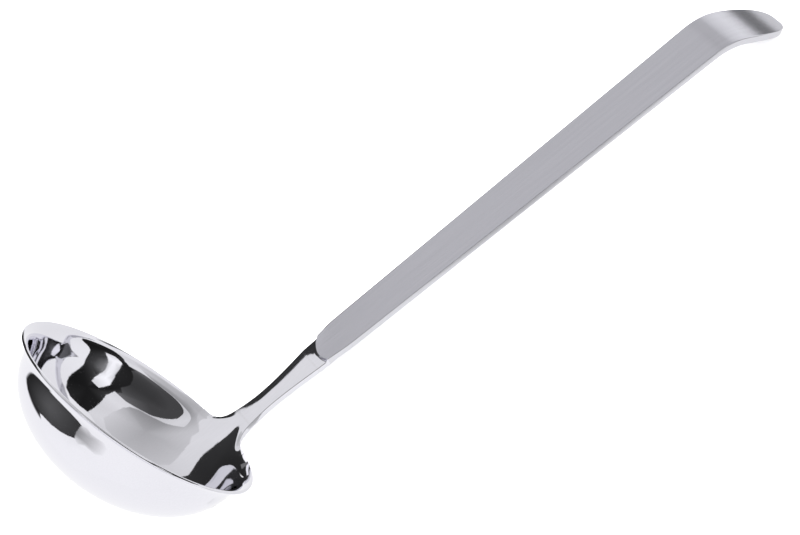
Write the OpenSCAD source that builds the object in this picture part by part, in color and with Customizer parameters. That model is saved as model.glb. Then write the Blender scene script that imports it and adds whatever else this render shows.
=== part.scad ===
// Soup ladle in stainless steel: a drawn bowl with a flared pouring rim, a
// polished neck welded to the tongue of the bowl, and a satin bar handle that
// ends in a hanging hook. Millimetres, +Z up, the ladle lying on its back.
//
// Each part is shaped in the bowl's own frame (origin at the centre of the rim,
// X towards the handle, Z out of the bowl) and then laid down on the table.

/* [Bowl] */
// Diameter over the pouring rim
rim_d = 90; // [84:1:100]
// Depth from the rim plane to the outside of the bottom
bowl_depth = 31; // [27:1:38]
// Thickness of the bowl's sheet
sheet = 1.0; // [0.8:0.1:1.4]
// How far the rim reaches past the radius at which the wall would stand upright
flare_w = 3.8; // [3:0.1:5]
// Height of the rim over the level at which the wall would stand upright
flare_h = 2.9; // [2.4:0.1:4]
// Angle round the curve of the wall at which the flare begins
flare_from = 80; // [76:1:84]
// Slope of the flare at the rim
flare_slope = 20; // [10:1:30]

/* [Tongue of the bowl] */
// Half of the angle of rim that the tongue grows from
root_angle = 17; // [14:0.5:22]
// How far down the wall the tongue starts
root_drop = 7.5; // [6:0.5:9]
// Half of the angle over which the wall opens as a funnel below the tongue
funnel_angle = 36; // [30:1:44]
// Angle round the curve of the wall at which the funnel begins
funnel_from = 62; // [56:1:68]
// Length along the handle line at which the tongue is welded
weld_at = 9; // [8:0.5:11]

/* [Neck] */
// Narrowest width of the neck
waist_w = 6.9; // [6:0.1:9]
// Width of the neck at the tongue weld
root_w = 8.7; // [8:0.1:11]
// Thickness of the neck at its edges
neck_t = 2.4; // [2:0.1:3]
// Height of the crown across the neck
crown = 0.35; // [0.2:0.05:0.6]
// Length along the handle line at which the handle is welded
joint_at = 38.5; // [36:0.5:40]

/* [Handle] */
// Angle between the rim plane and the handle
handle_angle = 65.7; // [55:0.1:80]
// Distance from the bowl's axis at which the handle face meets the rim plane
handle_x = 40.6; // [38:0.1:43]
// Thickness of the handle bar
bar_t = 2.6; // [2.2:0.1:3.2]
// Width of the handle if it were carried down to the rim plane
bar_w = 11.2; // [10:0.1:13]
// Growth of the width for each millimetre of length
bar_taper = 0.031; // [0.02:0.001:0.04]
// Length along the handle line at which the hook starts to bend
hook_at = 213.5; // [180:0.5:240]

/* [Hook] */
// Radius of the bend, on the handle's face
hook_r = 23; // [18:1:40]
// Angle of the bend
hook_angle = 40; // [30:1:60]
// Straight length after the bend
hook_tail = 20.5; // [14:0.5:26]
// Length of the rounded end
tip_len = 35; // [24:1:36]
// Squareness of the rounded end, where 2 is an ellipse
tip_pow = 3.3; // [2:0.1:4]

/* [Shoulder] */
// Length along the handle line of the foot of the cove, at the nose of the arc
cove_at = 41; // [41:0.25:42]
// Width of the cove
cove_w = 1.3; // [1:0.1:1.6]
// Side offset of the nose of the arc
nose_y = -1.8; // [-3:0.1:3]
// How far the arc runs back at half the handle's width
nose_back = 3.2; // [1:0.1:4]

/* [Hidden] */

weld_gap = 0.8;       // length of each ground weld along the handle
root_steps = 20;      // meridians across the tongue
rim_steps = 64;       // meridians round the rest of the bowl
wall_rows = 13;       // rows of the bowl below the flare
flare_rows = 8;       // rows of the flare
tongue_rows = 8;      // rows of the tongue
edge_rows = 3;        // strips round the rim's edge
section_steps = 12;   // points across a section of the neck or handle

edge_bulge = 0.4;     // how far the rim's edge is rounded out
flare_pull = [5.2, 3.2];    // reach of the flare's curve from its two ends
funnel_pull = [6, 2.5];     // reach of the funnel's curve from its two ends
funnel_slope = 50;    // slope of the funnel at the rim
funnel_full = 5;      // half of the angle over which the funnel is at its full width
rim_r = rim_d / 2;
edge_r = rim_r - edge_bulge - sheet * sin(flare_slope) / 2;
rim_top = sheet / 2;
wall_r = rim_r - flare_w - sheet;
wall_top = rim_top - flare_h;
inner_depth = bowl_depth - sheet + wall_top;

// ---- curves -------------------------------------------------------------
function bezier(p, t) = pow(1 - t, 3) * p[0] + 3 * pow(1 - t, 2) * t * p[1]
    + 3 * (1 - t) * t * t * p[2] + pow(t, 3) * p[3];
function smooth(t) = t * t * (3 - 2 * t);
function clamp(t) = max(0, min(1, t));
function unit(v) = v / norm(v);

// ---- inside of the bowl: most of a quarter of an ellipse, then a curve to the rim -----
function ellipse(a) = [wall_r * sin(a), wall_top - inner_depth * cos(a)];
function curve_to_rim(a, slope, pull) =
    let (start = ellipse(a), up = unit(start - ellipse(a - 0.01)), end = [edge_r, rim_top])
    [start, start + pull[0] * up, end - pull[1] * [cos(slope), sin(slope)], end];
// q runs from 0 at the bottom to 1 at the end of the ellipse and 2 at the rim
function meridian(q, a, curve) = q <= 1 ? ellipse(a * q) : bezier(curve, q - 1);

profile_steps = 120;
profile_q = [for (i = [0 : profile_steps]) 2 * i / profile_steps];
function length_table(a, curve) =
    let (p = [for (q = profile_q) meridian(q, a, curve)])
    [for (i = 0, s = 0; i <= profile_steps;
        s = s + (i < profile_steps ? norm(p[i + 1] - p[i]) : 0), i = i + 1) [s, profile_q[i]]];

flare_curve = curve_to_rim(flare_from, flare_slope, flare_pull);
flare_table = length_table(flare_from, flare_curve);
funnel_curve = curve_to_rim(funnel_from, funnel_slope, funnel_pull);
funnel_table = length_table(funnel_from, funnel_curve);
total_len = flare_table[profile_steps][0];
wall_len = flare_table[profile_steps / 2][0];
funnel_scale = funnel_table[profile_steps][0] / total_len;
function flare_at(l) = meridian(lookup(l, flare_table), flare_from, flare_curve);
function funnel_at(l) = meridian(lookup(l * funnel_scale, funnel_table), funnel_from, funnel_curve);

// Point of the inside by azimuth and length: round, but open as a funnel below the tongue
function funnel_share(phi) = let (turn = abs((phi + 540) % 360 - 180))
    1 - smooth(clamp((turn - funnel_full) / (funnel_angle - funnel_full)));
function wall_point(phi, l) =
    let (k = funnel_share(phi), p = (1 - k) * flare_at(l) + (k > 0 ? k * funnel_at(l) : [0, 0]))
    [p[0] * cos(phi), p[0] * sin(phi), p[1]];
function wall_dir(phi, l) =
    unit(wall_point(phi, min(l + 0.05, total_len)) - wall_point(phi, max(l - 0.05, 0)));
function wall_normal(phi, l) =
    unit(cross(wall_dir(phi, l), wall_point(phi + 0.5, l) - wall_point(phi - 0.5, l)));

// ---- handle line: s along it, y across it, o out of its face ---------------
along = [cos(handle_angle), 0, sin(handle_angle)];
outward = [-sin(handle_angle), 0, cos(handle_angle)];
function place(s, y, o) = [handle_x, y, 0] + s * along + o * outward;

// Half width of the neck and the handle
waist_at = 19;
taper_at = 56;
function bar_half(s) = (bar_w + bar_taper * s) / 2;
function half_width(s) =
    s <= waist_at ? waist_w / 2 + (root_w - waist_w) / 2 * pow((waist_at - s) / (waist_at - weld_at), 1.8)
    : s >= taper_at ? bar_half(s)
    : let (t = (s - waist_at) / (taper_at - waist_at))
        waist_w / 2 + (bar_half(taper_at) - waist_w / 2) * smooth(t)
        + (pow(t, 3) - t * t) * (taper_at - waist_at) * bar_taper / 2;

// Edge of the neck below the plane of the handle's face
neck_drop = 2.45;
neck_rise = 1.45;
function neck_edge(s) = -neck_drop + neck_rise * pow(max(0, s - 12) / 30, 1.5);
function neck_top(s, v) = neck_edge(s) + crown * (1 - v * v);

// ---- tongue: from a notch in the wall up to the weld ------------------------
root_pow = 2.6;
function notch_phi(w) = root_angle * pow(abs(sin(90 * w)), 2 / root_pow) * sign(w);
function notch_len(w) = total_len - root_drop * pow(max(cos(90 * w), 0), 2 / root_pow);
function notch_dir(w) =
    let (phi = notch_phi(w), l = notch_len(w),
         x = pow(abs(phi) / root_angle, root_pow - 1) / (root_angle * PI / 180 * edge_r),
         y = pow((total_len - l) / root_drop, root_pow - 1) / root_drop)
    unit(y * wall_dir(phi, l) + x * sign(w) * [sin(phi), -cos(phi), 0]);
function tongue_end(w, s) = place(s, w * half_width(s), neck_top(s, w));
function mix(a, b, t) = (1 - t) * a + t * b;
function tongue_point(w, t) =
    let (a = wall_point(notch_phi(w), notch_len(w)), b = tongue_end(w, weld_at),
         pull_a = mix(5.0, 6.5, w * w), pull_b = mix(5.0, 4.5, w * w))
    bezier([a, a + pull_a * notch_dir(w),
        b - pull_b * unit(tongue_end(w, weld_at + 0.5) - b), b], t);
function tongue_du(w, t) = tongue_point(min(w + 0.04, 1), t) - tongue_point(max(w - 0.04, -1), t);
function tongue_dt(w, t) = tongue_point(w, min(t + 0.02, 1)) - tongue_point(w, max(t - 0.02, 0));
function tongue_normal(w, t) =
    unit(mix(unit(cross(tongue_dt(w, t), tongue_du(w, t))), outward, smooth(t)));
function tongue_thick(w, t) = mix(sheet, neck_t + crown * (1 - w * w), smooth(t));
function tongue_back(w, t) = tongue_point(w, t) - tongue_thick(w, t) * tongue_normal(w, t);

// ---- bowl mesh ----------------------------------------------------------------
rows = wall_rows + flare_rows;
function row_part(i) = i <= wall_rows ? i / wall_rows * wall_len / total_len
    : mix(wall_len / total_len, 1, (i - wall_rows) / flare_rows);
tongue_w = [for (j = [0 : root_steps]) 2 * j / root_steps - 1];
// Each meridian: [azimuth at the bottom, azimuth at its end, length at its end]
meridians = concat(
    [for (w = tongue_w) [root_angle * w, notch_phi(w), notch_len(w)]],
    [for (k = [1 : rim_steps - 1]) let (phi = root_angle + k * (360 - 2 * root_angle) / rim_steps)
        [phi, phi, total_len]]);
function turn_at(m, i) = mix(m[0], m[1], pow(i / rows, 3));
function len_at(m, i) = m[2] * row_part(i);

bowl_inside = concat(
    [wall_point(0, 0)],
    [for (m = meridians) for (i = [1 : rows]) wall_point(turn_at(m, i), len_at(m, i))],
    [for (w = tongue_w) for (i = [1 : tongue_rows]) tongue_point(w, i / tongue_rows)]);
bowl_outside = concat(
    [wall_point(0, 0) - [0, 0, sheet]],
    [for (m = meridians) for (i = [1 : rows]) let (phi = turn_at(m, i), l = len_at(m, i))
        wall_point(phi, l) - sheet * wall_normal(phi, l)],
    [for (w = tongue_w) for (i = [1 : tongue_rows]) tongue_back(w, i / tongue_rows)]);
side_count = len(bowl_inside);

function wall_index(j, i) = 1 + j * rows + i - 1;
function tongue_index(j, i) = i == 0 ? wall_index(j, rows)
    : 1 + len(meridians) * rows + j * tongue_rows + i - 1;

// The free edge, from the weld down one side, round the rim and up the other side:
// [index of the inside point, direction out of the edge, bulge]
function side_out(w, t) =
    let (n = tongue_normal(w, t), d = unit(cross(tongue_dt(w, t), n))) d[1] * w < 0 ? -d : d;
edge = concat(
    [for (i = [tongue_rows : -1 : 1]) let (t = i / tongue_rows)
        [tongue_index(root_steps, i), side_out(1, t), edge_bulge * pow(1 - t, 2)]],
    [for (k = [0 : rim_steps]) let (j = k == rim_steps ? 0 : root_steps + k, phi = meridians[j][1])
        [wall_index(j, rows), [cos(phi), sin(phi), 0], edge_bulge]],
    [for (i = [1 : tongue_rows]) let (t = i / tongue_rows)
        [tongue_index(0, i), side_out(-1, t), edge_bulge * pow(1 - t, 2)]]);
edge_points = [for (e = edge) for (j = [1 : edge_rows - 1]) let (t = j / edge_rows)
    mix(bowl_inside[e[0]], bowl_outside[e[0]], t) + 4 * t * (1 - t) * e[2] * e[1]];
function edge_index(b, j) = j == 0 ? edge[b][0] : j == edge_rows ? edge[b][0] + side_count
    : 2 * side_count + b * (edge_rows - 1) + j - 1;

function flip(f) = [for (i = [len(f) - 1 : -1 : 0]) f[i]];
inside_faces = concat(
    [for (j = [0 : len(meridians) - 1]) let (k = (j + 1) % len(meridians))
        [0, wall_index(k, 1), wall_index(j, 1)]],
    [for (j = [0 : len(meridians) - 1]) for (i = [1 : rows - 1]) let (k = (j + 1) % len(meridians))
        each [[wall_index(j, i), wall_index(k, i), wall_index(k, i + 1)],
              [wall_index(j, i), wall_index(k, i + 1), wall_index(j, i + 1)]]],
    [for (j = [0 : root_steps - 1]) for (i = [0 : tongue_rows - 1])
        each [[tongue_index(j, i), tongue_index(j + 1, i), tongue_index(j + 1, i + 1)],
              [tongue_index(j, i), tongue_index(j + 1, i + 1), tongue_index(j, i + 1)]]]);
outside_faces = [for (f = inside_faces) [for (i = flip(f)) i + side_count]];
edge_faces = [for (b = [0 : len(edge) - 2]) for (j = [0 : edge_rows - 1])
    each [[edge_index(b, j), edge_index(b + 1, j), edge_index(b + 1, j + 1)],
          [edge_index(b, j), edge_index(b + 1, j + 1), edge_index(b, j + 1)]]];
// The flat end at the weld, as strips from the inside to the outside, with a fan at each side
function end_index(j) = tongue_index(j, tongue_rows);
last_edge = len(edge) - 1;
weld_faces = concat(
    [for (j = [1 : root_steps - 2]) each [
        [end_index(j), end_index(j + 1), end_index(j + 1) + side_count],
        [end_index(j), end_index(j + 1) + side_count, end_index(j) + side_count]]],
    [for (j = [0 : edge_rows - 1]) [end_index(1), edge_index(last_edge, j + 1), edge_index(last_edge, j)]],
    [[end_index(1), end_index(1) + side_count, end_index(0) + side_count]],
    [for (j = [0 : edge_rows - 1]) [end_index(root_steps - 1), edge_index(0, j), edge_index(0, j + 1)]],
    [[end_index(root_steps - 1), end_index(root_steps) + side_count,
      end_index(root_steps - 1) + side_count]]);
bowl_points = concat(bowl_inside, bowl_outside, edge_points);
bowl_faces = concat(inside_faces, outside_faces, edge_faces, weld_faces);

// ---- rings of equal length joined into a closed bar -----------------------------
function bar_points(rings) = [for (r = rings) for (p = r) p];
function bar_faces(rings) = let (n = len(rings[0]), c = len(rings)) concat(
    [for (i = [0 : n - 3]) [n - 1, i + 1, i]],
    [for (k = [0 : c - 2]) for (i = [0 : n - 1]) let (a = k * n + i, b = k * n + (i + 1) % n)
        each [[a, b, b + n], [a, b + n, a + n]]],
    [for (i = [0 : n - 3]) let (b = (c - 1) * n) [b + n - 1, b + i, b + i + 1]]);
section_v = [for (i = [0 : section_steps]) 2 * i / section_steps - 1];

// Neck: crowned face, flat back
function neck_ring(s) = concat(
    [for (v = section_v) place(s, v * half_width(s), neck_top(s, v))],
    [for (v = [1, -1]) place(s, v * half_width(s), neck_edge(s) - neck_t)]);
function neck_rings(a, b, n) = [for (i = [0 : n]) neck_ring(mix(a, b, i / n))];

// Handle: the face rises from the neck through the cove, then runs flat to the hook
handle_at = joint_at + weld_gap;
face_at = cove_at + cove_w;
function nose(y) = nose_back * (pow((y - nose_y) / bar_half(cove_at), 2));
function nose_share(u) = smooth(clamp((u - handle_at) / (cove_at - handle_at)))
    * (1 - smooth(clamp((u - face_at) / 10)));
function face_height(u, v) = u <= cove_at ? neck_top(u, v)
    : u >= face_at ? 0
    : let (a = neck_top(cove_at, v), t = (u - cove_at) / cove_w) a * sqrt(1 - t * t);
function back_height(s) = mix(neck_edge(s) - neck_t, -bar_t, smooth(clamp((s - handle_at) / 10)));

// The hook bends back round an axis behind the handle
hook_len = hook_r * hook_angle * PI / 180 + hook_tail;
bar_end = hook_at + hook_len;
tip_at = max(bar_end - tip_len, hook_at + 1);
function hook_turn(l) = clamp((l - hook_at) / (hook_r * hook_angle * PI / 180)) * hook_angle;
function hook_place(l, y, o) =
    let (a = hook_turn(l), straight = l - hook_at - hook_r * a * PI / 180,
         s = hook_at + (hook_r + o) * sin(a), h = (hook_r + o) * cos(a) - hook_r)
    place(s + straight * cos(a), y, h - straight * sin(a));
function handle_half(l) = half_width(l)
    * pow(max(0, 1 - pow(clamp((l - tip_at) / (bar_end - tip_at)), tip_pow)), 1 / tip_pow);
function handle_ring(u) = let (b = handle_half(u), k = nose_share(u)) concat(
    [for (v = section_v) hook_place(u + k * nose(v * b), v * b, face_height(u, v))],
    [for (v = [1, -1]) hook_place(u + k * nose(v * b), v * b, back_height(u))]);
blunt_angle = 86;     // where the rounded end is cut off, short of its 90 degrees
handle_u = concat(
    [handle_at, (handle_at + cove_at) / 2],
    [for (i = [0 : 5]) cove_at + cove_w * sin(18 * i)],
    [for (i = [1 : 10]) face_at + 2 * i],
    [for (i = [1 : 6]) mix(face_at + 20, hook_at, i / 6)],
    [for (i = [1 : 4]) mix(hook_at, tip_at, i / 4)],
    [for (i = [1 : 24]) mix(tip_at, bar_end, sin(blunt_angle * i / 24))]);

// ---- lying on the table: turned until the tongue's back and the hook both touch -----
handle_points = bar_points([for (u = handle_u) handle_ring(u)]);
lie_angle = max([for (p = bowl_points) if (p[2] > -5 && p[0] > wall_r)
    min([for (t = handle_points) if (t[2] > bar_end / 2) atan2(t[2] - p[2], t[0] - p[0])])]);
function laid(p) = [p[0] * cos(lie_angle) + p[2] * sin(lie_angle),
                    -p[0] * sin(lie_angle) + p[2] * cos(lie_angle)];
laid_points = [for (p = concat(bowl_points, handle_points)) laid(p)];
mid_x = (max([for (p = laid_points) p[0]]) + min([for (p = laid_points) p[0]])) / 2;
low_z = min([for (p = laid_points) p[1]]);
module lie() translate([-mid_x, 0, -low_z]) rotate([0, lie_angle, 0]) children();

// ---- parts -------------------------------------------------------------------------
module bar(rings) lie() polyhedron(bar_points(rings), bar_faces(rings));

module bowl() color("gainsboro") lie() polyhedron(bowl_points, bowl_faces);

module tongue_weld() color("darkgray") bar(neck_rings(weld_at, weld_at + weld_gap, 1));

module neck() color("silver") bar(neck_rings(weld_at + weld_gap, joint_at, 24));

module handle_weld() color("darkgray") bar(neck_rings(joint_at, handle_at, 1));

module handle() color("lightslategray") bar([for (u = handle_u) handle_ring(u)]);

bowl();
tongue_weld();
neck();
handle_weld();
handle();
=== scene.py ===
import math

import bpy
import numpy as np
from mathutils import Matrix, Vector


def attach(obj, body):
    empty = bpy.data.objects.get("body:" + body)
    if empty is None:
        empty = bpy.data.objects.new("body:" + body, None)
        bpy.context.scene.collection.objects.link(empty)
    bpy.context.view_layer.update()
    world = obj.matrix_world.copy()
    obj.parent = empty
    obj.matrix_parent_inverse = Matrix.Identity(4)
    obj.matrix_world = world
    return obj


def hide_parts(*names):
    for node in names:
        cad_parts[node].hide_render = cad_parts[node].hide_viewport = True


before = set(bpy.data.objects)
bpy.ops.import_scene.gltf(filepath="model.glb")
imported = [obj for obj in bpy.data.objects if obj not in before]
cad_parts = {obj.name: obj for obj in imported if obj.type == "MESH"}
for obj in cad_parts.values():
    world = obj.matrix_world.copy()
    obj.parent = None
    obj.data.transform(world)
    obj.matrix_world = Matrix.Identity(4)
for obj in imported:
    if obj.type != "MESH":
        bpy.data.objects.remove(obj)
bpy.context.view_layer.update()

# ---------------------------------------------------------------- sizes, in mm
# The ladle is shaped in the bowl's own frame, as in the CAD: origin at the centre
# of the rim, X towards the handle, Z out of the bowl. The sizes are the CAD's too,
# apart from the neck's lower crown, the bend of the hook's tail and the broken edges.

# Bowl
SHEET = 1.0
RIM_R = 45.0
BOWL_DEPTH = 31.0
FLARE_W, FLARE_H = 3.8, 2.9       # reach of the rim past the upright wall, and its height
FLARE_FROM = math.radians(80)
FLARE_SLOPE = math.radians(20)
FLARE_PULL = (5.2, 3.2)           # reach of the flare's curve from its two ends
EDGE_BULGE = 0.4                  # how far the rim's edge is rounded out
EDGE_R = RIM_R - EDGE_BULGE - SHEET * math.sin(FLARE_SLOPE) / 2
RIM_TOP = SHEET / 2
WALL_R = RIM_R - FLARE_W - SHEET
WALL_TOP = RIM_TOP - FLARE_H
INNER_DEPTH = BOWL_DEPTH - SHEET + WALL_TOP

# Tongue, and the funnel into which the wall opens below it
FUNNEL_FROM = math.radians(62)
FUNNEL_SLOPE = math.radians(50)
FUNNEL_PULL = (6.0, 2.5)
FUNNEL_FULL = math.radians(5)     # half of the angle over which it is at its full width
FUNNEL_END = math.radians(36)     # half of the angle at which it has faded out
ROOT_ANGLE = math.radians(17)     # half of the angle of rim that the tongue grows from
ROOT_DROP = 7.5                   # how far down the wall the tongue starts
ROOT_POW = 2.6                    # squareness of its notch, where 2 is an ellipse
PULL_MIDDLE, PULL_SIDES = (5.0, 5.0), (6.5, 4.5)   # reach of the tongue's curves

# Neck, by length along the handle line
WELD_AT, JOINT_AT = 9.0, 38.5     # where the two welds begin
WELD_GAP = 0.8                    # length of each weld
ROOT_W = 8.7
WAIST_AT, WAIST_W = 19.0, 6.9
WAIST_POW = 1.8                   # how sharply the neck widens towards its root
TAPER_AT = 56.0                   # where the even taper of the handle begins
NECK_T = 2.4
NECK_DROP, NECK_RISE = 2.45, 1.45   # edge of the neck below the handle's face
RISE_AT, RISE_LEN, RISE_POW = 12.0, 30.0, 1.5
CROWN, ROOT_CROWN = 0.18, 0.072   # height of the face's crown, and at the root
CROWN_AT, CROWN_LEN = 10.0, 8.0   # where the crown grows, and over what length

# Handle
HANDLE_ANGLE = math.radians(65.7)
HANDLE_X = 40.6
BAR_T, BAR_W, BAR_TAPER = 2.6, 11.2, 0.031
COVE_AT, COVE_W = 41.0, 1.3
NOSE_Y, NOSE_BACK = -1.8, 3.2     # side offset of the cove's nose, and how far its arc runs back
FADE_LEN = 10.0                   # length over which the arc fades out and the back levels off
SHOULDER_LEN = 12.0               # length with closer rings above the cove
HOOK_AT, HOOK_R, HOOK_TAIL = 213.5, 23.0, 20.5
HOOK_ANGLE = math.radians(40)
TAIL_BEND = math.radians(8)       # the hook's tail is not quite flat
TIP_LEN, TIP_POW = 35.0, 3.3      # length and squareness of the rounded end
BLUNT = math.radians(86)          # where the rounded end is cut off, short of 90 degrees

HANDLE_AT = JOINT_AT + WELD_GAP
FACE_AT = COVE_AT + COVE_W
BAR_END = HOOK_AT + HOOK_R * HOOK_ANGLE + HOOK_TAIL
BEND_ANGLE = HOOK_ANGLE - TAIL_BEND / 2
TAIL_AT = HOOK_AT + HOOK_R * BEND_ANGLE
TAIL_R = (BAR_END - TAIL_AT) / TAIL_BEND

# Rounding of the corners of the neck and the handle
EDGE_BREAK, BACK_BREAK = 0.22, 0.3

# How the CAD lays the ladle down: turned about Y, then moved
LIE_ANGLE = math.radians(61.8871)
MID_X, LOW_Z = 114.894, -40.1502

# Fineness of the meshes
CORNER_STEPS = 5
SIDE_STEPS = 2 * CORNER_STEPS + 1   # points of a section between its face and its back
FACE_STEPS = 48
ROOT_STEPS, RIM_STEPS = 96, 288
MERIDIANS = ROOT_STEPS + RIM_STEPS
WALL_ROWS, FLARE_ROWS, TONGUE_ROWS = 76, 44, 48
ROWS = WALL_ROWS + FLARE_ROWS
WELD_RINGS, NECK_RINGS = 4, 110
PROFILE_STEPS = 4000
SHARP_ANGLE = math.radians(35)


def lay(p):
    """Points of the bowl's frame in mm, as points of the row's frame in metres."""
    c, s = math.cos(LIE_ANGLE), math.sin(LIE_ANGLE)
    x = p[..., 0] * c + p[..., 2] * s - MID_X
    z = -p[..., 0] * s + p[..., 2] * c - LOW_Z
    return np.stack([x, p[..., 1], z], -1) * 0.001


# ---------------------------------------------------------------- curves
def unit(v):
    return v / np.maximum(np.linalg.norm(v, axis=-1, keepdims=True), 1e-12)


def clamp(t):
    return np.clip(t, 0, 1)


def smooth(t):
    return t * t * (3 - 2 * t)


def mix(a, b, t):
    return (1 - t) * a + t * b


def same_shape(*values):
    return np.broadcast_arrays(*(np.asarray(v, float) for v in values))


def bezier(p, t):
    t = np.asarray(t, float)[..., None]
    return ((1 - t) ** 3 * p[0] + 3 * (1 - t) ** 2 * t * p[1]
            + 3 * (1 - t) * t * t * p[2] + t ** 3 * p[3])


# ---------------------------------------------------------------- inside of the bowl
class Meridian:
    """The inside of the bowl in section: a quarter of an ellipse up to an angle, then a curve
    to the rim with a given slope there. Points are asked for by their share of its length."""

    def __init__(self, turn, slope, pull):
        self.turn = turn
        start, end = self.ellipse(1.0), np.array([EDGE_R, RIM_TOP])
        up = unit(start - self.ellipse(0.9999))
        back = np.array([math.cos(slope), math.sin(slope)])
        self.curve = [start, start + pull[0] * up, end - pull[1] * back, end]
        self.q = np.linspace(0, 2, PROFILE_STEPS + 1)
        steps = np.linalg.norm(np.diff(self.at_q(self.q), axis=0), axis=1)
        self.length = np.concatenate([[0], np.cumsum(steps)])
        self.total = self.length[-1]

    def ellipse(self, q):
        a = np.asarray(q, float) * self.turn
        return np.stack([WALL_R * np.sin(a), WALL_TOP - INNER_DEPTH * np.cos(a)], -1)

    def at_q(self, q):
        """q runs from 0 at the bottom to 1 at the end of the ellipse and 2 at the rim."""
        return np.where((q <= 1)[..., None], self.ellipse(np.minimum(q, 1)),
                        bezier(self.curve, np.maximum(q - 1, 0)))

    def at(self, part):
        return self.at_q(np.interp(part * self.total, self.length, self.q))


FLARED = Meridian(FLARE_FROM, FLARE_SLOPE, FLARE_PULL)
FUNNEL = Meridian(FUNNEL_FROM, FUNNEL_SLOPE, FUNNEL_PULL)
TOTAL_LEN = FLARED.total
WALL_PART = float(np.interp(1, FLARED.q, FLARED.length)) / TOTAL_LEN


def wall_point(phi, length):
    """Round the bowl by azimuth and length; under the tongue the wall opens as a funnel."""
    phi, length = same_shape(phi, length)
    turn = np.abs((phi + np.pi) % (2 * np.pi) - np.pi)
    k = 1 - smooth(clamp((turn - FUNNEL_FULL) / (FUNNEL_END - FUNNEL_FULL)))
    part = length / TOTAL_LEN
    p = mix(FLARED.at(part), FUNNEL.at(part), k[..., None])
    return np.stack([p[..., 0] * np.cos(phi), p[..., 0] * np.sin(phi), p[..., 1]], -1)


def wall_dir(phi, length):
    return unit(wall_point(phi, np.minimum(length + 0.05, TOTAL_LEN))
                - wall_point(phi, np.maximum(length - 0.05, 0)))


def wall_normal(phi, length):
    across = wall_point(phi + 0.01, length) - wall_point(phi - 0.01, length)
    return unit(np.cross(wall_dir(phi, length), across))


# ---------------------------------------------------------------- handle line
ALONG = np.array([math.cos(HANDLE_ANGLE), 0, math.sin(HANDLE_ANGLE)])
OUTWARD = np.array([-math.sin(HANDLE_ANGLE), 0, math.cos(HANDLE_ANGLE)])


def place(s, y, o):
    """s along the handle line, y across it, o out of its face."""
    s, y, o = same_shape(s, y, o)
    side = np.stack([0 * y, y, 0 * y], -1)
    return np.array([HANDLE_X, 0, 0]) + s[..., None] * ALONG + o[..., None] * OUTWARD + side


def bar_half(s):
    return (BAR_W + BAR_TAPER * s) / 2


def half_width(s):
    """Half of the width of the neck and the handle."""
    s = np.asarray(s, float)
    waist, taper_len = WAIST_W / 2, TAPER_AT - WAIST_AT
    near_root = np.maximum(0, (WAIST_AT - s) / (WAIST_AT - WELD_AT))
    root = waist + (ROOT_W / 2 - waist) * near_root ** WAIST_POW
    t = (s - WAIST_AT) / taper_len
    shoulder = (waist + (bar_half(TAPER_AT) - waist) * smooth(t)
                + (t ** 3 - t * t) * taper_len * BAR_TAPER / 2)
    return np.where(s <= WAIST_AT, root, np.where(s >= TAPER_AT, bar_half(s), shoulder))


def neck_edge(s):
    return -NECK_DROP + NECK_RISE * (np.maximum(0, np.asarray(s, float) - RISE_AT) / RISE_LEN) ** RISE_POW


def crown(s):
    """Height of the face's crown: nearly flat at the root, and fuller from there on."""
    return mix(ROOT_CROWN, CROWN, smooth(clamp((np.asarray(s, float) - CROWN_AT) / CROWN_LEN)))


def neck_top(s, v):
    return neck_edge(s) + crown(s) * (1 - v * v)


# ---------------------------------------------------------------- tongue of the bowl
# w runs from -1 to 1 across the tongue, t from 0 at the wall to 1 at the weld
def notch(w):
    """Where the tongue leaves the wall: azimuth, length along the meridian, direction."""
    a = w * np.pi / 2
    phi = ROOT_ANGLE * np.abs(np.sin(a)) ** (2 / ROOT_POW) * np.sign(w)
    length = TOTAL_LEN - ROOT_DROP * np.maximum(np.cos(a), 0) ** (2 / ROOT_POW)
    x = (np.abs(phi) / ROOT_ANGLE) ** (ROOT_POW - 1) / (ROOT_ANGLE * EDGE_R)
    y = ((TOTAL_LEN - length) / ROOT_DROP) ** (ROOT_POW - 1) / ROOT_DROP
    turn = np.stack([np.sin(phi), -np.cos(phi), 0 * phi], -1)
    return phi, length, unit(y[..., None] * wall_dir(phi, length) + (x * np.sign(w))[..., None] * turn)


def tongue_end(w, s):
    return place(s, w * half_width(s), neck_top(s, w))


def tongue_point(w, t):
    w, t = same_shape(w, t)
    phi, length, leave = notch(w)
    start, end = wall_point(phi, length), tongue_end(w, WELD_AT)
    arrive = unit(tongue_end(w, WELD_AT + 0.5) - end)
    pulls = [mix(a, b, w * w)[..., None] for a, b in zip(PULL_MIDDLE, PULL_SIDES)]
    return bezier([start, start + pulls[0] * leave, end - pulls[1] * arrive, end], t)


def tongue_dt(w, t):
    return tongue_point(w, np.minimum(t + 0.02, 1)) - tongue_point(w, np.maximum(t - 0.02, 0))


def tongue_dw(w, t):
    return tongue_point(np.minimum(w + 0.04, 1), t) - tongue_point(np.maximum(w - 0.04, -1), t)


def tongue_normal(w, t):
    n = unit(np.cross(unit(tongue_dt(w, t)), unit(tongue_dw(w, t))))
    return unit(mix(n, OUTWARD, smooth(np.asarray(t, float))[..., None]))


# ---------------------------------------------------------------- sections of a bar
def corner(r, a0):
    """A corner from the angle a0 to straight down: (outward, downward) steps."""
    a = np.linspace(a0, np.pi / 2, CORNER_STEPS + 1)
    return r * np.stack([np.sin(a) - np.sin(a0), np.cos(a0) - np.cos(a)], -1)


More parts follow.
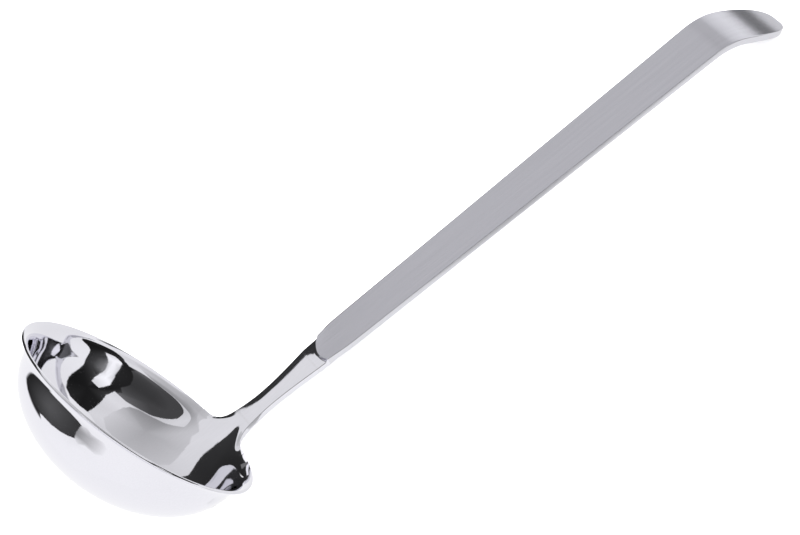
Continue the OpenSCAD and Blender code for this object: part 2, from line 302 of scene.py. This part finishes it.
def section(top, half, back, slope):
    """One ring of a bar as (y, o) points: face, right side, back, left side.
    top(y) is the face's height, slope its fall at the edge, back the back's height."""
    a0 = math.atan(slope)
    inset = EDGE_BREAK * (1 - math.sin(a0))
    ys = np.linspace(-(half - inset), half - inset, FACE_STEPS + 1)
    face = np.stack([ys, top(ys)], -1)
    high = np.array([half - inset, face[-1, 1]]) + corner(EDGE_BREAK, a0) * [1, -1]
    low = np.array([half - BACK_BREAK, back]) + corner(BACK_BREAK, 0)
    right = np.concatenate([high[1:], low[::-1]])
    left = right[::-1] * [-1, 1]
    backs = np.linspace(half - BACK_BREAK, -(half - BACK_BREAK), FACE_STEPS // 3 + 1)[1:-1]
    flat = np.stack([backs, np.full(len(backs), back)], -1)
    return np.concatenate([face, right, flat, left])


def edge_slope(s, half):
    """Fall of the crowned face at its edge."""
    return 2 * float(crown(s)) / half


def quads(index, columns, rows):
    """Quads of a grid whose point in column j and row i has the number index(j, i)."""
    return [(index(j, i), index(j + 1, i), index(j + 1, i + 1), index(j, i + 1))
            for j in columns for i in rows]


def ring_faces(count, n):
    """Quads between rings of n points, closed with a cap at each end."""
    faces = [tuple(range(n - 1, -1, -1))]
    for k in range(count - 1):
        for i in range(n):
            a, b = k * n + i, k * n + (i + 1) % n
            faces.append((a, b, b + n, a + n))
    faces.append(tuple(range((count - 1) * n, count * n)))
    return faces


def bar(stations, ring_at):
    rings = [ring_at(float(u)) for u in stations]
    return np.concatenate(rings), ring_faces(len(rings), len(rings[0]))


# ---------------------------------------------------------------- bowl
TONGUE_W = np.linspace(-1, 1, ROOT_STEPS + 1)
WELD_HALF = float(half_width(WELD_AT))
WELD_FALL = math.atan(edge_slope(WELD_AT, WELD_HALF))   # fall of the face's edge at the weld
WELD_INSET = EDGE_BREAK * (1 - math.sin(WELD_FALL))     # room for the broken edge there


def tongue_reach(t):
    """The tongue's top narrows towards the weld, to leave room for the broken edge."""
    return 1 - WELD_INSET / WELD_HALF * smooth(t)


def meridians():
    """For all meridians: azimuth at the bottom, azimuth at the end, length at the end."""
    phi_end, length_end, _ = notch(TONGUE_W)
    rest = ROOT_ANGLE + np.arange(1, RIM_STEPS) * (2 * np.pi - 2 * ROOT_ANGLE) / RIM_STEPS
    return (np.concatenate([ROOT_ANGLE * TONGUE_W, rest]), np.concatenate([phi_end, rest]),
            np.concatenate([length_end, np.full(len(rest), TOTAL_LEN)]))


def bowl_surfaces(phi_low, phi_top, length):
    """The inside and the outside: the bottom's middle, the wall's rows, the tongue's rows."""
    wall_part = np.arange(1, WALL_ROWS + 1) / WALL_ROWS * WALL_PART
    flare_part = WALL_PART + np.arange(1, FLARE_ROWS + 1) / FLARE_ROWS * (1 - WALL_PART)
    part = np.concatenate([wall_part, flare_part])
    phi = mix(phi_low[:, None], phi_top[:, None], (np.arange(1, ROWS + 1) / ROWS) ** 3)
    wall = wall_point(phi, length[:, None] * part)
    wall_out = wall - SHEET * wall_normal(phi, length[:, None] * part)

    t = np.arange(1, TONGUE_ROWS + 1) / TONGUE_ROWS
    w = TONGUE_W[:, None] * tongue_reach(t)
    t = np.broadcast_to(t, w.shape)
    thick = mix(SHEET, NECK_T + crown(WELD_AT) * (1 - w * w), smooth(t))
    tongue = tongue_point(w, t)
    tongue_out = tongue - thick[..., None] * tongue_normal(w, t)

    bottom = wall_point(0.0, 0.0)[None]
    return (np.concatenate([bottom, wall.reshape(-1, 3), tongue.reshape(-1, 3)]),
            np.concatenate([bottom - [0, 0, SHEET], wall_out.reshape(-1, 3), tongue_out.reshape(-1, 3)]))


def wall_index(j, i):
    return 1 + j % MERIDIANS * ROWS + i - 1


def tongue_index(j, i):
    return wall_index(j, ROWS) if i == 0 else 1 + MERIDIANS * ROWS + j * TONGUE_ROWS + i - 1


def edge_stations(phi_top):
    """The free edge, from the weld down one side, round the rim and up the other side:
    number of the inside's point, t along the tongue, azimuth, and side (0 on the rim)."""
    right = [(tongue_index(ROOT_STEPS, i), i / TONGUE_ROWS, 0.0, 1) for i in range(TONGUE_ROWS, 0, -1)]
    rim = [(wall_index(j, ROWS), 0.0, phi_top[j % MERIDIANS], 0)
           for j in range(ROOT_STEPS, MERIDIANS + 1)]
    left = [(tongue_index(0, i), i / TONGUE_ROWS, 0.0, -1) for i in range(1, TONGUE_ROWS + 1)]
    return right + rim + left


def edge_out(t, phi, side):
    """Direction out of the free edge."""
    if side == 0:
        return np.array([math.cos(phi), math.sin(phi), 0])
    w, t = np.array(side * tongue_reach(t)), np.array(t)
    out = unit(np.cross(unit(tongue_dt(w, t)), tongue_normal(w, t)))
    if out[1] * side < 0:
        out = -out
    return unit(mix(out, np.array([0, side, 0]), float(smooth(t))))


def edge_profile(t, thick):
    """The free edge in section, as (outward, downward) steps from the inside: the round edge
    of the rim, which turns into the neck's side with its two broken corners."""
    bulge = EDGE_BULGE * (1 - t) ** 2
    a = np.linspace(0, np.pi / 2, CORNER_STEPS + 1)
    top = np.stack([bulge * np.sin(a), thick / 2 * (1 - np.cos(a))], -1)
    low = top * [1, -1] + [0, thick]
    rim = np.concatenate([top[1:], [[bulge, thick / 2]], low[:0:-1]])
    top = corner(EDGE_BREAK, WELD_FALL)
    low = corner(BACK_BREAK, 0) * [1, -1] + [WELD_INSET - BACK_BREAK, thick]
    side = np.concatenate([top[1:], [[WELD_INSET, thick / 2]], low[:0:-1]])
    return mix(rim, side, float(smooth(t)))


def bowl_mesh():
    phi_low, phi_top, length = meridians()
    inside, outside = bowl_surfaces(phi_low, phi_top, length)
    count = len(inside)
    stations = edge_stations(phi_top)
    edge = []
    for index, t, phi, side in stations:
        through = outside[index] - inside[index]
        thick = np.linalg.norm(through)
        steps = edge_profile(t, thick)
        edge.append(inside[index] + steps[:, :1] * edge_out(t, phi, side)
                    + steps[:, 1:] * through / thick)

    def edge_index(b, j):
        if j == 0:
            return stations[b][0]
        if j == SIDE_STEPS + 1:
            return stations[b][0] + count
        return 2 * count + b * SIDE_STEPS + j - 1

    faces = [(0, wall_index(j + 1, 1), wall_index(j, 1)) for j in range(MERIDIANS)]
    faces += quads(wall_index, range(MERIDIANS), range(1, ROWS))
    faces += quads(tongue_index, range(ROOT_STEPS), range(TONGUE_ROWS))
    faces += [tuple(i + count for i in reversed(f)) for f in faces]
    faces += quads(edge_index, range(len(stations) - 1), range(SIDE_STEPS + 1))
    # The flat end at the weld
    end = [tongue_index(j, TONGUE_ROWS) for j in range(ROOT_STEPS + 1)]
    sides = range(1, SIDE_STEPS + 1)
    faces.append(tuple(end + [edge_index(0, j) for j in sides] + [i + count for i in reversed(end)]
                       + [edge_index(len(stations) - 1, j) for j in reversed(sides)]))
    return np.concatenate([inside, outside, *edge]), faces


# ---------------------------------------------------------------- neck and handle
def neck_ring(s):
    half = float(half_width(s))
    ring = section(lambda y: neck_top(s, y / half), half, float(neck_edge(s)) - NECK_T,
                   edge_slope(s, half))
    return place(s, ring[:, 0], ring[:, 1])


def neck_bar(start, end, rings):
    return bar(np.linspace(start, end, rings), neck_ring)


def nose(y):
    """How far the arc of the cove runs back."""
    return NOSE_BACK * ((y - NOSE_Y) / bar_half(COVE_AT)) ** 2


def nose_share(u):
    rise = smooth(clamp((u - HANDLE_AT) / (COVE_AT - HANDLE_AT)))
    return float(rise * (1 - smooth(clamp((u - FACE_AT) / FADE_LEN))))


def cove_share(u):
    """1 on the neck, 0 on the handle's face, and a quarter of a circle between them."""
    return math.sqrt(1 - clamp((u - COVE_AT) / COVE_W) ** 2)


def face_height(u, v):
    return neck_top(min(u, COVE_AT), v) * cove_share(u)


def back_height(u):
    return float(mix(neck_edge(u) - NECK_T, -BAR_T, smooth(clamp((u - HANDLE_AT) / FADE_LEN))))


def hook_place(u, y, o):
    """As place, with the bar bent back for the hook: first tightly, then a little in its tail."""
    u, y, o = same_shape(u, y, o)
    bend = np.clip((u - HOOK_AT) / HOOK_R, 0, BEND_ANGLE)
    turn = bend + np.maximum(u - TAIL_AT, 0) / TAIL_R
    s = (np.minimum(u, HOOK_AT) + HOOK_R * np.sin(bend)
         + TAIL_R * (np.sin(turn) - np.sin(bend)) + o * np.sin(turn))
    h = (HOOK_R * (np.cos(bend) - 1)
         + TAIL_R * (np.cos(turn) - np.cos(bend)) + o * np.cos(turn))
    return place(s, y, h)


def handle_half(u):
    end = clamp((u - BAR_END + TIP_LEN) / TIP_LEN)
    return float(half_width(u)) * (1 - end ** TIP_POW) ** (1 / TIP_POW)


def handle_ring(u):
    half = handle_half(u)
    ring = section(lambda y: face_height(u, y / half), half, back_height(u),
                   edge_slope(u, half) * cove_share(u))
    return hook_place(u + nose_share(u) * nose(ring[:, 0]), ring[:, 0], ring[:, 1])


def handle_stations():
    """Rings along the handle, closest round the cove and towards the rounded end."""
    shoulder_end, tip_at = FACE_AT + SHOULDER_LEN, BAR_END - TIP_LEN
    return np.concatenate([
        np.linspace(HANDLE_AT, COVE_AT, 9),
        COVE_AT + COVE_W * np.sin(np.linspace(0, np.pi / 2, 17))[1:],
        np.linspace(FACE_AT, shoulder_end, 31)[1:],
        np.linspace(shoulder_end, HOOK_AT, 90)[1:],
        np.linspace(HOOK_AT, tip_at, 4)[1:],
        tip_at + TIP_LEN * np.sin(np.linspace(0, BLUNT, 121))[1:]])


# ---------------------------------------------------------------- materials
BRUSH_MAP = "brush"


def nodes_of(name):
    mat = bpy.data.materials.new(name)
    mat.use_nodes = True
    return mat, mat.node_tree, mat.node_tree.nodes["Principled BSDF"]


def fill(tree, node, inputs):
    """Sets a node's inputs, or links them where a value is another node's socket."""
    for key, value in inputs.items():
        if isinstance(value, bpy.types.NodeSocket):
            tree.links.new(value, node.inputs[key])
        else:
            node.inputs[key].default_value = value


def add(tree, kind, inputs, output, **settings):
    """The named output of a new node of a kind, with its inputs and settings."""
    node = tree.nodes.new(kind)
    for key, value in settings.items():
        setattr(node, key, value)
    fill(tree, node, inputs)
    return node.outputs[output]


def noise(tree, coord, scale, detail, roughness=0.5):
    return add(tree, "ShaderNodeTexNoise", {"Vector": coord, "Scale": scale, "Detail": detail,
                                            "Roughness": roughness}, "Fac")


def spread(tree, grain, low, high):
    """A noise's usual range, spread from a low to a high value."""
    return add(tree, "ShaderNodeMapRange", {"Value": grain, "From Min": 0.3, "From Max": 0.7,
                                            "To Min": low, "To Max": high}, "Result")


def tones(tree, grain, base, darker, low, high):
    """A colour that is darker where a noise is low."""
    ramp = tree.nodes.new("ShaderNodeValToRGB")
    fill(tree, ramp, {"Fac": grain})
    dark, light = ramp.color_ramp.elements
    dark.position, light.position = low, high
    dark.color = tuple(darker * c for c in base) + (1,)
    light.color = base + (1,)
    return ramp.outputs["Color"]


def polished_steel(name, base, rough_low, rough_high):
    """Polished steel: uneven haze and the fine hairlines of the polishing wheel."""
    mat, tree, bsdf = nodes_of(name)
    coord = add(tree, "ShaderNodeTexCoord", {}, "Object")
    haze = noise(tree, coord, 55.0, 4.0)
    lines = add(tree, "ShaderNodeMapping", {"Vector": coord, "Rotation": (0.4, 0.9, 0.2),
                                            "Scale": (120.0, 3500.0, 3500.0)}, "Vector")
    hair = noise(tree, lines, 1.0, 2.0)
    fill(tree, bsdf, {
        "Base Color": tones(tree, hair, base, 0.975, 0.35, 0.65),
        "Roughness": spread(tree, haze, rough_low, rough_high),
        "Metallic": 1.0,
        "Normal": add(tree, "ShaderNodeBump", {"Strength": 0.012, "Distance": 0.0002,
                                               "Height": hair}, "Normal")})
    return mat


def satin_steel(name, base):
    """Steel brushed along the handle: fine long grooves and wider bands of tone. The mesh
    carries a map in mm, round the section and along the handle, which they follow."""
    mat, tree, bsdf = nodes_of(name)
    coord = add(tree, "ShaderNodeUVMap", {}, "UV", uv_map=BRUSH_MAP)

    def grain(across, along, detail):
        scaled = add(tree, "ShaderNodeMapping", {"Vector": coord, "Scale": (1 / across, 1 / along, 1.0)},
                     "Vector")
        return noise(tree, scaled, 1.0, detail, 0.6)

    fine, wide = grain(0.12, 14.0, 2.0), grain(1.1, 60.0, 3.0)
    fill(tree, bsdf, {
        "Base Color": tones(tree, wide, base, 0.96, 0.3, 0.7),
        "Roughness": spread(tree, fine, 0.09, 0.15),
        "Metallic": 1.0,
        "Anisotropic": 0.85,
        "Tangent": add(tree, "ShaderNodeTangent", {}, "Tangent", direction_type="UV_MAP",
                       uv_map=BRUSH_MAP),
        "Normal": add(tree, "ShaderNodeBump", {"Strength": 0.12, "Distance": 0.00002,
                                               "Height": fine}, "Normal")})
    return mat


EDGE = polished_steel("ground_edge", (0.76, 0.755, 0.805), 0.12, 0.2)
POLISHED = polished_steel("polished_steel", (0.83, 0.825, 0.88), 0.02, 0.06)
WELD = polished_steel("weld_steel", (0.81, 0.805, 0.855), 0.03, 0.08)
SATIN = satin_steel("satin_steel", (0.575, 0.572, 0.622))
HANDLE_MATERIALS = [POLISHED, SATIN, EDGE]


def handle_slots(stations, n):
    """Which of the handle's materials each face of its rings of n points has: polished up to
    the top of the cove, then satin with ground sides."""
    slots = [HANDLE_MATERIALS.index(POLISHED)]
    for u in stations[:-1]:
        for i in range(n):
            side = FACE_STEPS <= i < FACE_STEPS + SIDE_STEPS or i >= n - SIDE_STEPS
            material = POLISHED if u < FACE_AT - 1e-6 else EDGE if side else SATIN
            slots.append(HANDLE_MATERIALS.index(material))
    return slots + [HANDLE_MATERIALS.index(SATIN)]


def add_brush_map(obj, points, stations):
    """Round the section and along the handle, in mm, at each corner of each face."""
    rings = points.reshape(len(stations), -1, 3)
    n = rings.shape[1]
    ring = rings[len(stations) // 3]
    steps = np.linalg.norm(np.roll(ring, -1, axis=0) - ring, axis=1)
    around = np.concatenate([[0], np.cumsum(steps)])
    layer = obj.data.uv_layers.new(name=BRUSH_MAP)
    for face in obj.data.polygons:
        first = [v % n for v in face.vertices]
        closes_ring = len(first) == 4 and max(first) - min(first) > n // 2
        for loop, v, i in zip(face.loop_indices, face.vertices, first):
            layer.data[loop].uv = (around[n if closes_ring and i == 0 else i], stations[v // n])


# ---------------------------------------------------------------- pieces
def new_object(name, points, faces, materials):
    mesh = bpy.data.meshes.new(name)
    mesh.from_pydata([tuple(p) for p in points], [], faces)
    for material in materials:
        mesh.materials.append(material)
    obj = bpy.data.objects.new(name, mesh)
    bpy.context.scene.collection.objects.link(obj)
    return obj


def piece(node, points, faces, slot_name, materials, slots=None):
    """A finer mesh that stands for a CAD node. Its faces are listed inside out."""
    obj = new_object(node + "_skin", lay(points), [f[::-1] for f in faces], materials)
    mesh = obj.data
    if slots is not None:
        mesh.polygons.foreach_set("material_index", slots)
    mesh.polygons.foreach_set("use_smooth", [True] * len(mesh.polygons))
    mesh.set_sharp_from_angle(angle=SHARP_ANGLE)
    mesh.validate()
    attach(obj, "root")
    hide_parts(node)
    return obj


def add_ladle():
    neck_at = WELD_AT + WELD_GAP
    piece("bowl", *bowl_mesh(), "polished_steel", [POLISHED])
    piece("tongue_weld", *neck_bar(WELD_AT, neck_at, WELD_RINGS), "weld_steel", [WELD])
    piece("neck", *neck_bar(neck_at, JOINT_AT, NECK_RINGS), "polished_steel", [POLISHED])
    piece("handle_weld", *neck_bar(JOINT_AT, HANDLE_AT, WELD_RINGS), "weld_steel", [WELD])
    stations = handle_stations()
    points, faces = bar(stations, handle_ring)
    slots = handle_slots(stations, len(points) // len(stations))
    handle = piece("handle", points, faces, "satin_steel", HANDLE_MATERIALS, slots)
    add_brush_map(handle, points, stations)


# ---------------------------------------------------------------- camera
# Where the camera stands and looks, in the bowl's frame, and its roll
EYE_IN_BOWL = np.array([-699.10, -612.92, 276.54])
LOOK_IN_BOWL = np.array([0.765601, 0.611863, -0.198694])
ROLL = math.radians(-23.521)
LENS, SENSOR = 133.46, 36.0


def add_camera():
    eye = Vector(lay(EYE_IN_BOWL))
    forward = Vector(lay(EYE_IN_BOWL + 1000 * LOOK_IN_BOWL) - lay(EYE_IN_BOWL)).normalized()
    level = forward.cross(Vector((0, 0, 1))).normalized()
    right = level * math.cos(ROLL) + level.cross(forward) * math.sin(ROLL)
    up = right.cross(forward)
    data = bpy.data.cameras.new("camera")
    data.lens = LENS
    data.sensor_width = SENSOR
    camera = bpy.data.objects.new("camera", data)
    camera.matrix_world = Matrix((
        (right.x, up.x, -forward.x, eye.x),
        (right.y, up.y, -forward.y, eye.y),
        (right.z, up.z, -forward.z, eye.z),
        (0, 0, 0, 1)))
    bpy.context.scene.collection.objects.link(camera)
    bpy.context.scene.camera = camera


# ---------------------------------------------------------------- what the steel reflects
# Every reflection in the steel comes from a dome of cards that only glossy rays see.
# A point of a card is (u, v, level): u and v are degrees away from straight up, along X
# and along Y, as seen from the bowl, and the level is how bright it looks in the steel,
# from 0 to 1 as displayed. Of two cards, the one with the smaller radius is in front.
BOWL_AT = np.array([-0.115, 0.0, 0.04])
STEEL_GREY = 0.84
DISPLAY_GAMMA = 2.2
DOME_R = 1.60                     # in metres, as are the radii of the cards
TILT_STEPS, TURN_STEPS = 180, 120
CARD_RINGS = 10                   # rings of points in a card
OUTLINE_PARTS = 4                 # parts of each side of its outline
ARC_STEPS = 24

ROOM_LEVEL = 0.17
TABLE_LEVEL, TABLE_END_LEVEL = 0.935, 0.88
TABLE_TILT, TABLE_SOFT = 99, 3    # the table begins just below the horizon
END_TURN, END_HALF, END_SOFT = 17, 55, 6   # the bright side of the room, towards the handle's end
END_TILTS, END_LEVELS = [48, 63, 76, 90, 104], [0.72, 0.80, 0.87, 0.90, 0.92]


def glow_material():
    mat = bpy.data.materials.new("card_glow")
    mat.use_nodes = True
    mat.cycles.emission_sampling = "NONE"
    tree = mat.node_tree
    tree.nodes.clear()
    glow = add(tree, "ShaderNodeAttribute", {}, "Fac", attribute_name="glow")
    emission = add(tree, "ShaderNodeEmission", {"Color": (1, 1, 1, 1), "Strength": glow}, "Emission")
    fill(tree, tree.nodes.new("ShaderNodeOutputMaterial"), {"Surface": emission})
    return mat


GLOW = glow_material()


def patch(name, radius, uvl, faces):
    """A mesh on the dome from (u, v, level) points, seen only by reflection."""
    tilt = np.radians(np.hypot(uvl[:, 0], uvl[:, 1]))
    turn = np.arctan2(uvl[:, 1], uvl[:, 0])
    away = np.stack([np.sin(tilt) * np.cos(turn), np.sin(tilt) * np.sin(turn), np.cos(tilt)], -1)
    obj = new_object(name, BOWL_AT + radius * away, faces, [GLOW])
    glow = obj.data.attributes.new("glow", "FLOAT", "POINT")
    glow.data.foreach_set("value", (uvl[:, 2] ** DISPLAY_GAMMA / STEEL_GREY).astype(np.float32))
    obj.visible_camera = False
    obj.visible_diffuse = False
    obj.visible_shadow = False
    obj.visible_transmission = False
    obj.visible_volume_scatter = False


def card(name, radius, centre, outline):
    """Rings of points from a centre out to an outline."""
    rim = np.array([[mix(p, q, k / OUTLINE_PARTS) for p, q in zip(a, b)]
                    for a, b in zip(outline, outline[1:] + outline[:1]) for k in range(OUTLINE_PARTS)])
    centre, n = np.array(centre, float), len(rim)
    uvl = [centre[None]] + [centre + (rim - centre) * k / CARD_RINGS for k in range(1, CARD_RINGS + 1)]
    faces = [(0, 1 + i, 1 + (i + 1) % n) for i in range(n)]
    faces += quads(lambda j, i: 1 + i * n + j % n, range(n), range(CARD_RINGS - 1))
    patch(name, radius, np.concatenate(uvl), faces)


def arc_card(name, radius, tilts, turns, level):
    """A band of the dome between two tilts, from one azimuth to another, in degrees."""
    steps = np.radians(np.linspace(*turns, ARC_STEPS + 1))
    uvl = [(t * math.cos(a), t * math.sin(a), level) for a in steps for t in tilts]
    patch(name, radius, np.array(uvl), quads(lambda j, i: 2 * j + i, range(ARC_STEPS), range(1)))


def dome():
    """White table below, dark room above, paler towards the handle's end."""
    tilt, turn = np.meshgrid(np.linspace(0.5, 179.5, TILT_STEPS),
                             np.linspace(-np.pi, np.pi, TURN_STEPS, endpoint=False), indexing="ij")
    end_share = clamp((END_HALF - np.abs(np.degrees(turn) - END_TURN)) / END_SOFT)
    room = mix(ROOM_LEVEL, np.interp(tilt, END_TILTS, END_LEVELS), end_share)
    table = mix(TABLE_LEVEL, TABLE_END_LEVEL, clamp(np.cos(turn)))
    level = mix(room, table, clamp((tilt - TABLE_TILT) / TABLE_SOFT))
    uvl = np.stack([tilt * np.cos(turn), tilt * np.sin(turn), level], -1).reshape(-1, 3)
    patch("dome", DOME_R, uvl, ring_faces(TILT_STEPS, TURN_STEPS))


def dark_room_cards():
    # Beyond the ceiling panel, on the far side, then round to the left
    card("room_far", 1.56, (10, 66, 0.18), [
        (-20, 38, 0.24), (8, 40, 0.2), (30, 46, 0.2), (40, 46, 0.22), (38, 56, 0.2),
        (34, 66, 0.2), (40, 74, 0.2), (52, 78, 0.2), (56, 90, 0.18), (44, 100, 0.16),
        (18, 99, 0.16), (-20, 96, 0.15), (-38, 91, 0.15), (-34, 64, 0.2)])
    card("room_left", 1.55, (-58, 36, 0.36), [
        (-50, -6, 0.3), (-24, 0, 0.3), (-18, 50, 0.22), (-30, 90, 0.15), (-38, 91, 0.14),
        (-58, 82, 0.15), (-69, 68, 0.2), (-77, 55, 0.24), (-85, 36, 0.27), (-86, 21, 0.25),
        (-84, 9, 0.24), (-78, -2, 0.22), (-66, -8, 0.24)])
    # On the camera's side, with a paler part next to the ceiling panel
    card("room_near", 1.56, (62, -58, 0.13), [
        (25, -47, 0.3), (44, -42, 0.25), (60, -34, 0.14), (78, -20, 0.14), (84, -25, 0.13),
        (91, -34, 0.17), (92, -45, 0.15), (87, -57, 0.13), (81, -66, 0.11), (73, -74, 0.11),
        (60, -83, 0.12), (46, -91, 0.14), (37, -97, 0.18), (30, -103, 0.2), (18, -100, 0.28),
        (4, -96, 0.5), (-8, -78, 0.18), (-14, -56, 0.15)])
    card("room_near_grey", 1.53, (0, -32, 0.27), [
        (-26, -1, 0.27), (-10, -4, 0.27), (0, -9, 0.27), (10, -16, 0.28), (17, -26, 0.33),
        (27, -40, 0.4), (29, -52, 0.42), (20, -51, 0.33), (15, -57.5, 0.28), (-14, -57.5, 0.2),
        (-21, -35, 0.2)])


def table_cards():
    # The room's edge just above the table, as the hook's end sees it
    arc_card("table_edge", 1.54, (92.3, 97.3), (8, 72), 0.42)
    card("left_table", 1.54, (-100, 20, 0.94), [
        (-84, 36, 0.93), (-77.5, 56, 0.93), (-95, 62, 0.94), (-120, 40, 0.94), (-120, -5, 0.94),
        (-92, -10, 0.94), (-80, -3, 0.9), (-84, 9, 0.92), (-85.5, 21, 0.93)])
    # The table is greyer where the handle's near side looks
    card("table_grey", 1.54, (54, -119, 0.66), [
        (36, -127, 0.66), (60, -128.5, 0.68), (74, -127, 0.76), (80, -118, 0.85),
        (70, -108, 0.8), (36, -110, 0.7)])


def light_cards():
    card("end_light", 1.565, (50, 45, 0.94), [
        (40, 23, 0.84), (25, 36, 0.84), (19, 42, 0.84), (24, 62, 0.93), (28, 87, 1.0),
        (46, 79, 1.0), (59, 70, 1.01), (70, 60, 1.01), (75, 53, 1.01), (83, 39, 1.0),
        (66, 30, 0.93)])
    # White side panel to the left of the camera, with a soft grey head
    card("side_panel", 1.56, (-50, -60, 0.945), [
        (-30, -4, 0.92), (-33, -40, 0.94), (-28, -68, 0.94), (-14, -92, 0.94), (0, -108, 0.9),
        (-60, -120, 0.93), (-110, -60, 0.94), (-120, 0, 0.94), (-90, -4, 0.93)])
    card("side_haze", 1.53, (-75, -17, 0.7), [
        (-80, -1, 0.82), (-73, -3, 0.55), (-60, -6, 0.65), (-58, -20, 0.7), (-66, -40, 0.93),
        (-76, -37, 0.93), (-83, -27, 0.91), (-81, -14, 0.88), (-86, -4, 0.88)])
    # Softbox like a window, and its glow on the table's edge
    card("window_glow", 1.52, (14, -87, 0.48), [
        (2, -82, 0.5), (20, -82, 0.5), (34, -78, 0.2), (30, -90, 0.22), (20, -98, 0.28),
        (8, -99, 0.6)])
    card("window", 1.50, (24, -73, 0.985), [
        (-0.5, -79, 0.93), (8.5, -71.5, 0.8), (17, -68, 0.9), (27, -62.5, 0.97),
        (46.5, -58.5, 0.86), (49, -68, 0.84), (39, -74.5, 0.93), (27, -79, 0.92),
        (12, -83.5, 0.84), (1, -87, 0.93)])
    # Ceiling panel: white at its border, greyer in the middle
    card("ceiling", 1.50, (18, 5, 0.84), [
        (-32, 0, 0.86), (-22, -2.5, 0.8), (-10, -6.5, 0.83), (0, -11.5, 0.78), (10, -19, 0.76),
        (18, -29.5, 0.7), (25.5, -40, 0.84), (28.5, -54, 0.84), (44, -49, 0.87), (62, -35, 0.82),
        (78, -21.5, 0.84), (76, 0, 0.8), (70, 20, 0.72), (62, 34, 0.71), (52, 38, 0.78),
        (44, 44, 0.8), (36, 52, 0.81), (27, 54.5, 0.82), (16, 49.5, 0.83), (6, 42.5, 0.84),
        (0, 42, 0.85), (-5, 44, 0.86), (-15, 44, 0.86), (-32, 42, 0.86)])
    card("ceiling_middle", 1.47, (34, -4, 0.655), [
        (7, 24, 0.76), (4, 18, 0.77), (-1, 11, 0.77), (-2, 6, 0.73), (0, 0, 0.67), (5, -7, 0.58),
        (8, -13, 0.55), (13, -20, 0.55), (19, -28, 0.56), (26, -33, 0.6), (36, -33, 0.72),
        (52, -27, 0.8), (66, -18, 0.8), (70, -5, 0.76), (66, 10, 0.71), (58, 24, 0.72),
        (48, 33, 0.75), (36, 36, 0.76), (20, 30, 0.76), (12, 27, 0.75)])


# ---------------------------------------------------------------- floor and its light
FLOOR_SIZE, FLOOR_GAP = 6.0, 0.0003   # in metres; the gap keeps the floor off the steel
FLOOR_WHITE = (0.93, 0.93, 0.935, 1)
WORLD_STRENGTH = 2.8


def add_floor():
    mat, _, bsdf = nodes_of("floor")
    bsdf.inputs["Base Color"].default_value = FLOOR_WHITE
    bsdf.inputs["Roughness"].default_value = 0.6
    bpy.ops.mesh.primitive_plane_add(size=FLOOR_SIZE, location=(0, 0, -FLOOR_GAP))
    floor = bpy.context.object
    floor.name = "floor"
    floor.data.materials.append(mat)
    floor.visible_glossy = False


def add_world():
    """Even white light all round, which lights the floor and doesn't show in the steel."""
    world = bpy.data.worlds.new("studio")
    bpy.context.scene.world = world
    world.use_nodes = True
    background = world.node_tree.nodes["Background"]
    background.inputs["Color"].default_value = (1, 1, 1, 1)
    background.inputs["Strength"].default_value = WORLD_STRENGTH
    world.cycles_visibility.glossy = False


add_ladle()
add_camera()
dome()
dark_room_cards()
table_cards()
light_cards()
add_floor()
add_world()
bpy.context.scene.view_settings.view_transform = "Standard"
